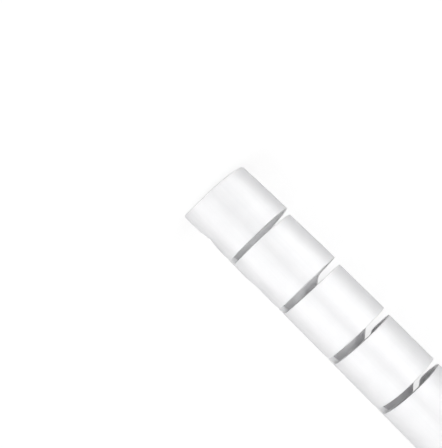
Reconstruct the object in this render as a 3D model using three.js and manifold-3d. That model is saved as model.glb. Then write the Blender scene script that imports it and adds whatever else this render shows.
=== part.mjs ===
// Spiral cable wrap: one white polyethylene band that winds round a bundle of cables.
// Millimetres, +Z up. The sleeve lies along X, centred on X and Y, lowest flat on Z = 0.
import * as THREE from "three";
import { mergeVertices } from "three/addons/utils/BufferGeometryUtils.js";
import Module from "manifold-3d";

// Size of the sleeve, which is cut square at both ends
const SLEEVE_LENGTH = 1000;
const OUTER_DIAMETER = 25;
const WALL = 2;

// The winding: PITCH from turn to turn, GAP open between two turns, both along the axis
const PITCH = 23.4;
const GAP = 2.5;
const BAND_WIDTH = PITCH - GAP;

// Each turn runs almost square to the axis, with a DRIFT of this share of the pitch,
// then steps over to the next turn on the underside. STEP_EASE is the share of the step
// in which it bends away, and bends back. Angles go round the axis from +Z towards +Y.
const DRIFT = 0.1;
const STEP_START = THREE.MathUtils.degToRad(150);
const STEP_END = THREE.MathUtils.degToRad(290);
const STEP_EASE = 0.08;

// Flats round the sleeve, one of them straight down and one straight up
const FLATS = 24;

const TURN = 2 * Math.PI;
const flatAngle = TURN / FLATS;
const outerRadius = OUTER_DIAMETER / 2;
const middleRadius = outerRadius - WALL / 2;
const cornerRatio = 1 / Math.cos(flatAngle / 2);

// How far along its step the band has come, from 0 to 1
function easedStep(u) {
  const bend = 2 * STEP_EASE * (1 - STEP_EASE);
  if (u <= 0) return 0;
  if (u < STEP_EASE) return (u * u) / bend;
  if (u <= 1 - STEP_EASE) return (u - STEP_EASE / 2) / (1 - STEP_EASE);
  return 1 - ((1 - u) * (1 - u)) / bend;
}

// Pitches of advance along the axis at a winding angle, 0 where the first step ends
function advance(angle) {
  const turns = (angle - STEP_END) / TURN + 1;
  const turn = Math.floor(turns);
  const part = turns - turn;
  const squareShare = 1 - (STEP_END - STEP_START) / TURN;
  const step = easedStep((part - squareShare) / (1 - squareShare));
  return turn + DRIFT * part + (1 - DRIFT) * step;
}

// A straight strip, one length of box for each flat, wrapped onto the stepped spiral
function spiralBand() {
  const spareTurns = 1;
  const turns = Math.ceil(SLEEVE_LENGTH / PITCH) + 2 * spareTurns;
  const strip = new THREE.BoxGeometry(turns, WALL, BAND_WIDTH, turns * FLATS, 1, 1);
  const firstAngle = -spareTurns * TURN - flatAngle / 2;
  const at = strip.attributes.position;
  for (let i = 0; i < at.count; i += 1) {
    const flatsAlong = Math.round((at.getX(i) + turns / 2) * FLATS);
    const angle = firstAngle + flatsAlong * flatAngle;
    const radius = (middleRadius + at.getY(i)) * cornerRatio;
    const nearEdge = PITCH * advance(angle) - SLEEVE_LENGTH / 2;
    const x = nearEdge + BAND_WIDTH / 2 + at.getZ(i);
    at.setXYZ(i, x, radius * Math.sin(angle), outerRadius + radius * Math.cos(angle));
  }
  return strip;
}

const wasm = await Module();
wasm.setup();

function toSolid(geometry) {
  geometry.deleteAttribute("normal");
  geometry.deleteAttribute("uv");
  const merged = mergeVertices(geometry);
  const vertProperties = merged.attributes.position.array;
  const triVerts = new Uint32Array(merged.index.array);
  return new wasm.Manifold(new wasm.Mesh({ numProp: 3, vertProperties, triVerts }));
}

function toGeometry(solid) {
  const mesh = solid.getMesh();
  const geometry = new THREE.BufferGeometry();
  geometry.setAttribute("position", new THREE.BufferAttribute(mesh.vertProperties, 3));
  geometry.setIndex(new THREE.BufferAttribute(mesh.triVerts, 1));
  geometry.computeVertexNormals();
  return geometry;
}

const block = new THREE.BoxGeometry(SLEEVE_LENGTH, 3 * OUTER_DIAMETER, 3 * OUTER_DIAMETER);
const sleeve = toSolid(spiralBand()).intersect(toSolid(block));

const polyethylene = new THREE.MeshStandardMaterial({ color: 0xf2f2f4, roughness: 0.45 });
const spiralWrap = new THREE.Mesh(toGeometry(sleeve), polyethylene);
spiralWrap.name = "spiral_wrap";

const part = new THREE.Group();
part.name = "spiral_cable_wrap";
part.add(spiralWrap);

export default part;
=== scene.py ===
"""Spiral cable wrap, dressed for rendering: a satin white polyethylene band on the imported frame."""
import math

import bpy
import numpy as np
from mathutils import Matrix, Vector


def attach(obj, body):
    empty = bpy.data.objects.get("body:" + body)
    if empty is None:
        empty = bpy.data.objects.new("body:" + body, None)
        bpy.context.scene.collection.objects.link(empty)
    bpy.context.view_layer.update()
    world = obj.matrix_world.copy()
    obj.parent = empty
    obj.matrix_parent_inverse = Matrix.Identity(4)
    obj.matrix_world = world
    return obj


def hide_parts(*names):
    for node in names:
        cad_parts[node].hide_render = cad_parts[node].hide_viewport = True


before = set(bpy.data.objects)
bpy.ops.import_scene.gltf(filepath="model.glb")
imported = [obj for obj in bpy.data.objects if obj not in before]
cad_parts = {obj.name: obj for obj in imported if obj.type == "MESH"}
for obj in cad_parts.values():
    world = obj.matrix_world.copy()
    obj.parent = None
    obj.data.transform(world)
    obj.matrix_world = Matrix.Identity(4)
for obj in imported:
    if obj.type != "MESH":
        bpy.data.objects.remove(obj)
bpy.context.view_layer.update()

MM = 0.001
TURN = 2 * math.pi

# The winding, as the solid has it. Angles go round the axis from +Z towards +Y.
SLEEVE_LENGTH = 1000 * MM
OUTER_RADIUS = 12.5 * MM
WALL = 2 * MM
PITCH = 23.4 * MM
BAND_WIDTH = 20.9 * MM
DRIFT = 0.1
STEP_START = math.radians(150)
STEP_END = math.radians(290)
STEP_EASE = 0.08

# How far the two edges lie off the even winding near the end that the photograph shows:
# turns from the top of the first band, and millimetres along the sleeve
NEAR_EDGE_OFF = (
    (-0.25, -0.5), (-0.05, 0.05), (0.22, 0.35), (0.5, 0), (1.0, -0.45), (1.5, -0.1),
    (2.0, 0), (2.5, 0.1), (3.1, 0.3), (3.8, -0.2), (4.6, 0),
)
FAR_EDGE_OFF = (
    (-0.2, 0.3), (0.2, 0.05), (0.85, 0.1), (1.15, -0.2), (1.6, -0.05), (2.0, 0.1),
    (2.75, -0.25), (3.0, 0.05), (3.5, -0.1), (4.6, 0),
)

# Past those turns both edges wander: millimetres, and radians for each turn. The wander sets
# in between two turns, and the far edge's is out of step with the near edge's.
SLOW_WANDER = (0.12, 1.31)
FAST_WANDER = (0.08, 2.73)
FAST_SHIFT = 1.2
WANDER_SETS_IN = (4, 5)
FAR_EDGE_SHIFT = 0.9

# Where the free band stands off the round: degrees of the middle, and degrees to each side
RIGHT_SIDE = (72, 75)
LEFT_SIDE = (258, 62)
NEAR_END_SIDE = (285, 60)

# How far the near end's cut bulges past the sleeve's length
END_LIP = 0.6 * MM

# How far the free band springs out of the round on its right side: turns, and millimetres,
# first at its near edge and then what is added towards its far edge
RIGHT_SPRING = ((0.2, 0.26), (1.2, 0.16), (2.2, 0.19), (3.2, 0.03), (4.6, 0.05))
RIGHT_RISE = (
    (0.2, 0.85), (1.2, 0.62), (2.2, 0.26), (3.2, 0.1), (4.6, 0.08), (41, 0.08), (42.5, 0.3),
)
RISE_POWER = 0.7

# The same on its left side: all across, and what is added near its near and its far edge,
# with the shares of the width between which the first fades out and the second sets in
LEFT_SPRING = ((-0.28, 0), (0.72, 0.08))
LEFT_NEAR_CURL = ((-0.28, 0.88), (0.72, 0.5), (1.72, 0))
LEFT_FAR_CURL = ((-0.28, 0.58), (0.72, 0.06), (1.72, 0))
NEAR_CURL_FADES = (0.41, 0.57)
FAR_CURL_SETS_IN = (0.68, 0.88)

# How finely the band is drawn: places across its flat faces are shares of their width,
# and the angles are those of a rounded corner's points
STATIONS_PER_TURN = 96
SPARE_TURNS = 1.5
LEAST_WIDTH = 0.5 * MM
EDGE_ROUND = 0.22 * MM
MOST_ROUND = 0.45
CORNER_ANGLES = (0, 45, 90)
OUTER_SHARES = (0.02, 0.2, 0.4, 0.6, 0.8, 0.98)
INNER_SHARES = (0.8, 0.5, 0.2)
SLOPE_STEP = 0.01

# Colours of the polyethylene
BODY_DARK = (0.83, 0.83, 0.84, 1)
BODY_LIGHT = (0.86, 0.86, 0.868, 1)
STREAK = (0.79, 0.79, 0.805, 1)
CUT_EDGE = (0.92, 0.92, 0.925, 1)

# Its noises: scale, stretch along each axis, and detail
LINES = (1.0, (9, 1500, 1500), 3.0)
MOTTLE = (160.0, (1, 1, 1), 3.0)
SCUFFS = (1.0, (60, 900, 900), 5.0)

# Ranges of a noise that the material reads, and of how far a point is on a cut edge
MIDDLE = (0.3, 0.7)
UPPER = (0.45, 0.75)
ON_THE_CUT = (0.3, 1.0)

# What they bring: shares of a colour, or roughness
STREAK_SHARE = (0, 0.45)
CUT_EDGE_SHARE = (0, 0.6)
SATIN_ROUGHNESS = (0.38, 0.46)
CUT_EDGE_ROUGHNESS = (0.0, 0.18)

# Strength and height of its bumps
LINES_BUMP = (0.18, 0.05 * MM)
MOTTLE_BUMP = (0.25, 0.12 * MM)

# The floor, and how strongly it glows: the distances that the glow changes between, and its
# strengths there, for the whole floor and for what is added round the near end
FLOOR_HALF = 40.0
FLOOR_COLOUR = (0.3, 0.3, 0.3, 1)
MIDDLE_GLOW = ((0, 0, 0), (0.7, 5.0), (0.53, 0.8))
NEAR_END_GLOW = ((-0.46, 0, 0), (0.14, 1.1), (0.2, 0))

# The lamps, all turned towards the origin: place, size in metres and power in watts.
# The fills aren't seen in reflections, and the glosses light by reflection alone.
FILLS = (
    ("overhead", (0, 0.23, 2.6), (6.0, 0.8), 81),
    ("left_fill", (-0.3, -2.36, 1.1), (4.0, 1.0), 51),
    ("right_fill", (-0.3, 2.36, 1.1), (4.0, 1.0), 29),
)
GLOSSES = (
    ("left_gloss", (-0.4, -1.54, 1.21), (3.2, 0.45), 27),
    ("right_gloss", (-0.4, 1.39, 1.39), (3.2, 0.45), 37),
)
WORLD_STRENGTH = 0.8

# The camera, which looks down on the near end
EYE = Vector((-457.33, 0.25, 407.35)) * MM
TARGET = Vector((-490.13, -6.22, 12.5)) * MM
ROLL = math.radians(45.33)
FOCAL_PIXELS = 1162.7
IMAGE_LONG_SIDE = 448
SENSOR_WIDTH = 36
CLIP = (0.01, 50)


def smooth(low, high, value):
    """0 below low, 1 above high, eased between."""
    u = np.clip((value - low) / (high - low), 0, 1)
    return u * u * (3 - 2 * u)


def eased_step(u):
    """How far along its step the band has come, from 0 to 1."""
    bend = 2 * STEP_EASE * (1 - STEP_EASE)
    middle = (u - STEP_EASE / 2) / (1 - STEP_EASE)
    value = np.where(u < STEP_EASE, u * u / bend, middle)
    value = np.where(u > 1 - STEP_EASE, 1 - (1 - u) ** 2 / bend, value)
    return np.clip(np.where(u <= 0, 0, value), 0, 1)


def advance(angle):
    """Pitches of advance along the axis at a winding angle."""
    turns = (angle - STEP_END) / TURN + 1
    turn = np.floor(turns)
    part = turns - turn
    square = 1 - (STEP_END - STEP_START) / TURN
    step = eased_step((part - square) / (1 - square))
    return turn + DRIFT * part + (1 - DRIFT) * step


def through(points, value):
    """A smooth curve through the points, level outside them."""
    places, heights = (np.array(column) for column in zip(*points))
    i = np.clip(np.searchsorted(places, value) - 1, 0, len(places) - 2)
    return heights[i] + (heights[i + 1] - heights[i]) * smooth(places[i], places[i + 1], value)


def unevenness(angle, points, shift):
    """How far an edge lies off the even winding: no two gaps are quite alike."""
    n = angle / TURN
    slow_height, slow_rate = SLOW_WANDER
    fast_height, fast_rate = FAST_WANDER
    slow = slow_height * np.sin(slow_rate * n + shift)
    fast = fast_height * np.sin(fast_rate * n + FAST_SHIFT - shift)
    return MM * (through(points, n) + smooth(*WANDER_SETS_IN, n) * (slow + fast))


def near_edge(angle):
    """Place along the sleeve of the band's edge on the near side."""
    return PITCH * advance(angle) - SLEEVE_LENGTH / 2 + unevenness(angle, NEAR_EDGE_OFF, 0)


def far_edge(angle):
    """Place along the sleeve of the band's edge on the far side."""
    even = PITCH * advance(angle) - SLEEVE_LENGTH / 2 + BAND_WIDTH
    return even + unevenness(angle, FAR_EDGE_OFF, FAR_EDGE_SHIFT)


def lobe(angle, middle, reach):
    """1 at the middle angle, falling to 0 at reach to each side, both in degrees."""
    away = np.degrees(np.angle(np.exp(1j * (angle - math.radians(middle)))))
    return np.where(np.abs(away) < reach, np.cos(np.pi * away / (2 * reach)) ** 2, 0)


def spring(angle, across):
    """How far the free band stands off the round. across is 0 at its near edge, 1 at its far."""
    n = angle / TURN
    rise = np.clip(across, 0, 1) ** RISE_POWER
    right = through(RIGHT_SPRING, n) + through(RIGHT_RISE, n) * rise
    near_curl = through(LEFT_NEAR_CURL, n) * (1 - smooth(*NEAR_CURL_FADES, across))
    far_curl = through(LEFT_FAR_CURL, n) * smooth(*FAR_CURL_SETS_IN, across)
    left = through(LEFT_SPRING, n) + near_curl + far_curl
    return MM * (lobe(angle, *RIGHT_SIDE) * right + lobe(angle, *LEFT_SIDE) * left)


def section(low, high):
    """The band's rounded section at each station, between its two edges: place along the
    sleeve, depth in the wall from 0 (inside) to 1 (outside), and how far the normal faces
    along the sleeve and outward. Each is an array of station x point."""
    rounding = np.minimum(EDGE_ROUND, MOST_ROUND * (high - low))
    points = []

    def add(place, depth, along, out):
        level = (np.broadcast_to(value, low.shape) for value in (depth, along, out))
        points.append((place, *level))

    def face(shares, depth, out):
        for share in shares:
            place = low + rounding + share * (high - low - 2 * rounding)
            add(place, depth, 0.0, out)

    def corner(edge, side, outside, angles):
        for angle in angles:
            along = math.sin(math.radians(angle))
            out = math.cos(math.radians(angle))
            place = edge - side * rounding * (1 - along)
            depth = rounding / WALL * (1 - out)
            add(place, 1 - depth if outside else depth, side * along, out if outside else -out)

    face(OUTER_SHARES, 1.0, 1.0)
    corner(high, 1, True, CORNER_ANGLES)
    corner(high, 1, False, CORNER_ANGLES[::-1])
    face(INNER_SHARES, 0.0, -1.0)
    corner(low, -1, False, CORNER_ANGLES)
    corner(low, -1, True, CORNER_ANGLES[::-1])
    return [np.stack(column, 1) for column in zip(*points)]


def stations():
    """Winding angles at which the band is wide enough to draw, and its two cut edges there."""
    spare = SPARE_TURNS * TURN
    last = SLEEVE_LENGTH / PITCH * TURN + spare
    angle = np.arange(-spare, last, TURN / STATIONS_PER_TURN)
    near_end = -SLEEVE_LENGTH / 2 - END_LIP * lobe(angle, *NEAR_END_SIDE)
    low = np.maximum(near_edge(angle), near_end)
    high = np.minimum(far_edge(angle), SLEEVE_LENGTH / 2)
    keep = high - low > LEAST_WIDTH
    return angle[keep], low[keep], high[keep]


def band_points():
    """Places and normals of the band's points, station x point x 3, and how far each point's
    normal faces along the sleeve."""
    angle, low, high = stations()
    place, depth, facing_along, facing_out = section(low, high)

    theta = angle[:, None]
    edge = near_edge(theta)
    width = far_edge(theta) - edge
    across = (place - edge) / width
    radius = OUTER_RADIUS - WALL * (1 - depth) + spring(theta, across)
    level = np.zeros_like(theta)
    along = np.array([1.0, 0, 0])
    outward = np.stack([level, np.sin(theta), np.cos(theta)], -1)
    onward = np.stack([level, np.cos(theta), -np.sin(theta)], -1)
    at = place[..., None] * along + radius[..., None] * outward
    at[..., 2] += OUTER_RADIUS

    ahead = spring(theta, across + SLOPE_STEP) - spring(theta, across - SLOPE_STEP)
    lean = ahead / (2 * SLOPE_STEP * width)
    beside = spring(theta + SLOPE_STEP, across) - spring(theta - SLOPE_STEP, across)
    swell = beside / (2 * SLOPE_STEP * radius)
    surface = outward - lean[..., None] * along - swell[..., None] * onward
    slant = np.gradient(near_edge(angle), angle)[:, None, None] / OUTER_RADIUS
    sideways = (along - slant * onward) / np.sqrt(1 + slant**2)
    normal = facing_along[..., None] * sideways + facing_out[..., None] * surface
    normal /= np.linalg.norm(normal, axis=-1, keepdims=True)
    return at, normal, facing_along


def band_mesh(name):
    """One closed skin round the band, with a face across each end."""
    at, normal, facing_along = band_points()
    count, points = facing_along.shape
    index = np.arange(count * points).reshape(count, points)
    here = index[:-1]
    there = index[1:]
    quads = np.stack([here, np.roll(here, -1, 1), np.roll(there, -1, 1), there], -1)
    ends = [index[0][::-1].tolist(), index[-1].tolist()]
    faces = quads.reshape(-1, 4).tolist() + ends

    mesh = bpy.data.meshes.new(name)
    mesh.from_pydata(at.reshape(-1, 3).tolist(), [], faces)
    mesh.polygons.foreach_set("use_smooth", [True] * len(faces))
    cut = mesh.attributes.new("cut_edge", "FLOAT", "POINT")
    cut.data.foreach_set("value", np.abs(facing_along).astype(np.float32).ravel())
    mesh.update()
    mesh.normals_split_custom_set_from_vertices(normal.reshape(-1, 3).tolist())
    return mesh


def add_object(name, data):
    """A new object that shows the data, in the scene."""
    made = bpy.data.objects.new(name, data)
    bpy.context.scene.collection.objects.link(made)
    return made


def node_material(name):
    """A new material, its nodes and links, and its shader's inputs."""
    material = bpy.data.materials.new(name)
    material.use_nodes = True
    tree = material.node_tree
    return material, tree.nodes, tree.links, tree.nodes["Principled BSDF"].inputs


def map_range(nodes, links, source, given, wanted):
    """The source, with its given range carried over to the wanted one. Returns the node."""
    made = nodes.new("ShaderNodeMapRange")
    links.new(source, made.inputs["Value"])
    made.inputs["From Min"].default_value, made.inputs["From Max"].default_value = given
    made.inputs["To Min"].default_value, made.inputs["To Max"].default_value = wanted
    return made


def add_up(nodes, links, first, second):
    """The sum of two values."""
    made = nodes.new("ShaderNodeMath")
    made.operation = "ADD"
    links.new(first, made.inputs[0])
    links.new(second, made.inputs[1])
    return made.outputs[0]


def polyethylene():
    """Satin white polyethylene that lets a little light in: faint extrusion lines along the
    sleeve, a soft mottle, and chalky cut edges."""
    material, nodes, links, shader = node_material("white_polyethylene")
    shader["IOR"].default_value = 1.51
    shader["Specular IOR Level"].default_value = 0.8
    shader["Subsurface Weight"].default_value = 0.3
    shader["Subsurface Radius"].default_value = (1.0, 1.0, 1.0)
    shader["Subsurface Scale"].default_value = 2.0 * MM
    where = nodes.new("ShaderNodeTexCoord").outputs["Object"]

    def noise(scale, stretch, detail):
        place = nodes.new("ShaderNodeMapping")
        place.inputs["Scale"].default_value = stretch
        links.new(where, place.inputs["Vector"])
        made = nodes.new("ShaderNodeTexNoise")
        made.inputs["Scale"].default_value = scale
        made.inputs["Detail"].default_value = detail
        links.new(place.outputs["Vector"], made.inputs["Vector"])
        return made.outputs["Fac"]

    def ramp(source, given, wanted):
        return map_range(nodes, links, source, given, wanted).outputs["Result"]

    def mix(share, first, second):
        made = nodes.new("ShaderNodeMix")
        made.data_type = "RGBA"
        links.new(share, made.inputs["Factor"])
        sockets = [socket for socket in made.inputs if socket.type == "RGBA"]
        for socket, value in zip(sockets, (first, second)):
            if isinstance(value, tuple):
                socket.default_value = value
            else:
                links.new(value, socket)
        return next(socket for socket in made.outputs if socket.type == "RGBA")

    def bump(height, strength, distance):
        made = nodes.new("ShaderNodeBump")
        made.inputs["Strength"].default_value = strength
        made.inputs["Distance"].default_value = distance
        links.new(height, made.inputs["Height"])
        return made

    lines = noise(*LINES)
    mottle = noise(*MOTTLE)
    scuffs = noise(*SCUFFS)
    cut = nodes.new("ShaderNodeAttribute")
    cut.attribute_name = "cut_edge"
    edges = cut.outputs["Fac"]

    body = mix(ramp(mottle, MIDDLE, (0, 1)), BODY_DARK, BODY_LIGHT)
    streaked = mix(ramp(lines, UPPER, STREAK_SHARE), body, STREAK)
    chalky = mix(ramp(edges, ON_THE_CUT, CUT_EDGE_SHARE), streaked, CUT_EDGE)
    links.new(chalky, shader["Base Color"])

    satin = ramp(scuffs, MIDDLE, SATIN_ROUGHNESS)
    dulled = ramp(edges, ON_THE_CUT, CUT_EDGE_ROUGHNESS)
    links.new(add_up(nodes, links, satin, dulled), shader["Roughness"])

    fine = bump(lines, *LINES_BUMP)
    broad = bump(mottle, *MOTTLE_BUMP)
    links.new(fine.outputs["Normal"], broad.inputs["Normal"])
    links.new(broad.outputs["Normal"], shader["Normal"])
    return material


def plain_floor():
    """A pale floor that the lamps and a faint glow keep even, brightest round the near end."""
    corners = [(x, y, 0) for x, y in ((-1, -1), (1, -1), (1, 1), (-1, 1))]
    mesh = bpy.data.meshes.new("floor")
    mesh.from_pydata([Vector(corner) * FLOOR_HALF for corner in corners], [], [(0, 1, 2, 3)])
    material, nodes, links, shader = node_material("floor_white")
    shader["Base Color"].default_value = FLOOR_COLOUR
    shader["Roughness"].default_value = 0.9
    shader["Specular IOR Level"].default_value = 0.1
    shader["Emission Color"].default_value = (1, 1, 1, 1)
    where = nodes.new("ShaderNodeTexCoord").outputs["Object"]

    def glow(centre, distances, strengths):
        """Strength by distance from a centre."""
        away = nodes.new("ShaderNodeVectorMath")
        away.operation = "DISTANCE"
        away.inputs[1].default_value = centre
        links.new(where, away.inputs[0])
        made = map_range(nodes, links, away.outputs["Value"], distances, strengths)
        made.interpolation_type = "SMOOTHSTEP"
        return made.outputs["Result"]

    total = add_up(nodes, links, glow(*MIDDLE_GLOW), glow(*NEAR_END_GLOW))
    links.new(total, shader["Emission Strength"])
    mesh.materials.append(material)
    floor = add_object("floor", mesh)
    floor.visible_glossy = False


def soft_light(name, place, size, power):
    """A rectangular lamp turned towards the origin."""
    data = bpy.data.lights.new(name, "AREA")
    data.shape = "RECTANGLE"
    data.size, data.size_y = size
    data.energy = power
    light = add_object(name, data)
    light.location = place
    light.rotation_mode = "QUATERNION"
    light.rotation_quaternion = (Vector() - Vector(place)).to_track_quat("-Z", "X")
    return light


def studio_world():
    """A pale background that the camera sees and that lights nothing."""
    world = bpy.data.worlds.new("studio")
    bpy.context.scene.world = world
    world.use_nodes = True
    background = world.node_tree.nodes["Background"].inputs
    background["Color"].default_value = (1, 1, 1, 1)
    background["Strength"].default_value = WORLD_STRENGTH
    world.cycles_visibility.diffuse = False
    world.cycles_visibility.glossy = False


def photo_camera():
    """The camera, at the photograph's viewing angle."""
    data = bpy.data.cameras.new("camera")
    data.sensor_width = SENSOR_WIDTH
    data.lens = FOCAL_PIXELS * SENSOR_WIDTH / IMAGE_LONG_SIDE
    data.clip_start, data.clip_end = CLIP
    look = (TARGET - EYE).normalized()
    up = Vector((-math.sin(ROLL), math.cos(ROLL), 0))
    up = (up - look * up.dot(look)).normalized()
    right = look.cross(up)
    camera = add_object("camera", data)
    camera.matrix_world = Matrix((
        (right.x, up.x, -look.x, EYE.x),
        (right.y, up.y, -look.y, EYE.y),
        (right.z, up.z, -look.z, EYE.z),
        (0, 0, 0, 1),
    ))
    bpy.context.scene.camera = camera


# The band
mesh = band_mesh("wrap_band")
mesh.materials.append(polyethylene())
band = add_object("wrap_band", mesh)
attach(band, "root")
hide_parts("spiral_wrap")

# Floor, light and camera
plain_floor()
for fill in FILLS:
    soft_light(*fill).visible_glossy = False
for gloss in GLOSSES:
    soft_light(*gloss).visible_diffuse = False
studio_world()
bpy.context.scene.view_settings.view_transform = "Standard"
bpy.context.scene.view_settings.look = "None"
photo_camera()

bpy.context.view_layer.update()
